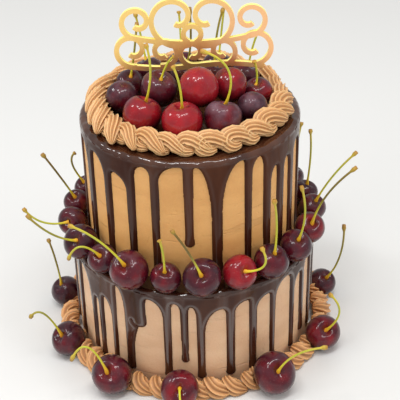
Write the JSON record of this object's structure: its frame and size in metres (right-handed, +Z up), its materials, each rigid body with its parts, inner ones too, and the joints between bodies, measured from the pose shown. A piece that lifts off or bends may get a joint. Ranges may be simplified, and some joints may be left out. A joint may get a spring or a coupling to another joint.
{
  "type": "two-tier cake",
  "caption": "Two-tier round cake with tan buttercream, dark glaze drips, piped borders, fresh stemmed cherries and a gold scrollwork topper.",
  "frame": {"origin": "centre of the lower tier's flat underside, on the surface that the cake stands on", "axes": "+Z up along the tiers' axis, -Y towards the front (the side that the topper faces), +X to the right seen from the front"},
  "size_m": [0.2393, 0.2617, 0.2561],
  "materials": {
    "cream_lower": "matt buttercream",
    "cream_upper": "matt buttercream",
    "glaze": "glossy dark glaze",
    "piping": "satin piped buttercream",
    "gold": "mirror gold",
    "cherry": "glossy fruit skin"
  },
  "bodies": {
    "root": {"tier_lower": "cream_lower", "tier_upper": "cream_upper", "glaze_lower": "glaze", "glaze_upper": "glaze", "border_top": "piping", "border_base": "piping", "topper": "gold", "cherry_base_01": "cherry", "cherry_base_02": "cherry", "cherry_base_03": "cherry", "cherry_base_04": "cherry", "cherry_base_05": "cherry", "cherry_base_06": "cherry", "cherry_base_07": "cherry", "cherry_base_08": "cherry", "cherry_base_09": "cherry", "cherry_base_10": "cherry", "cherry_ledge_01": "cherry", "cherry_ledge_02": "cherry", "cherry_ledge_03": "cherry", "cherry_ledge_04": "cherry", "cherry_ledge_05": "cherry", "cherry_ledge_06": "cherry", "cherry_ledge_07": "cherry", "cherry_ledge_08": "cherry", "cherry_ledge_09": "cherry", "cherry_ledge_10": "cherry", "cherry_ledge_11": "cherry", "cherry_ledge_12": "cherry", "cherry_ledge_13": "cherry", "cherry_ledge_14": "cherry", "cherry_ledge_15": "cherry", "cherry_ledge_16": "cherry", "cherry_ledge_17": "cherry", "cherry_ledge_18": "cherry", "cherry_ledge_19": "cherry", "cherry_ledge_20": "cherry", "cherry_ledge_21": "cherry", "cherry_ledge_22": "cherry", "cherry_top_01": "cherry", "cherry_top_02": "cherry", "cherry_top_03": "cherry", "cherry_top_04": "cherry", "cherry_top_05": "cherry", "cherry_top_06": "cherry", "cherry_top_07": "cherry", "cherry_top_08": "cherry", "cherry_top_09": "cherry", "cherry_top_10": "cherry", "cherry_top_11": "cherry", "cherry_top_12": "cherry", "cherry_top_13": "cherry", "cherry_top_14": "cherry", "cherry_top_15": "cherry", "cherry_top_16": "cherry"}
  },
  "joints": []
}
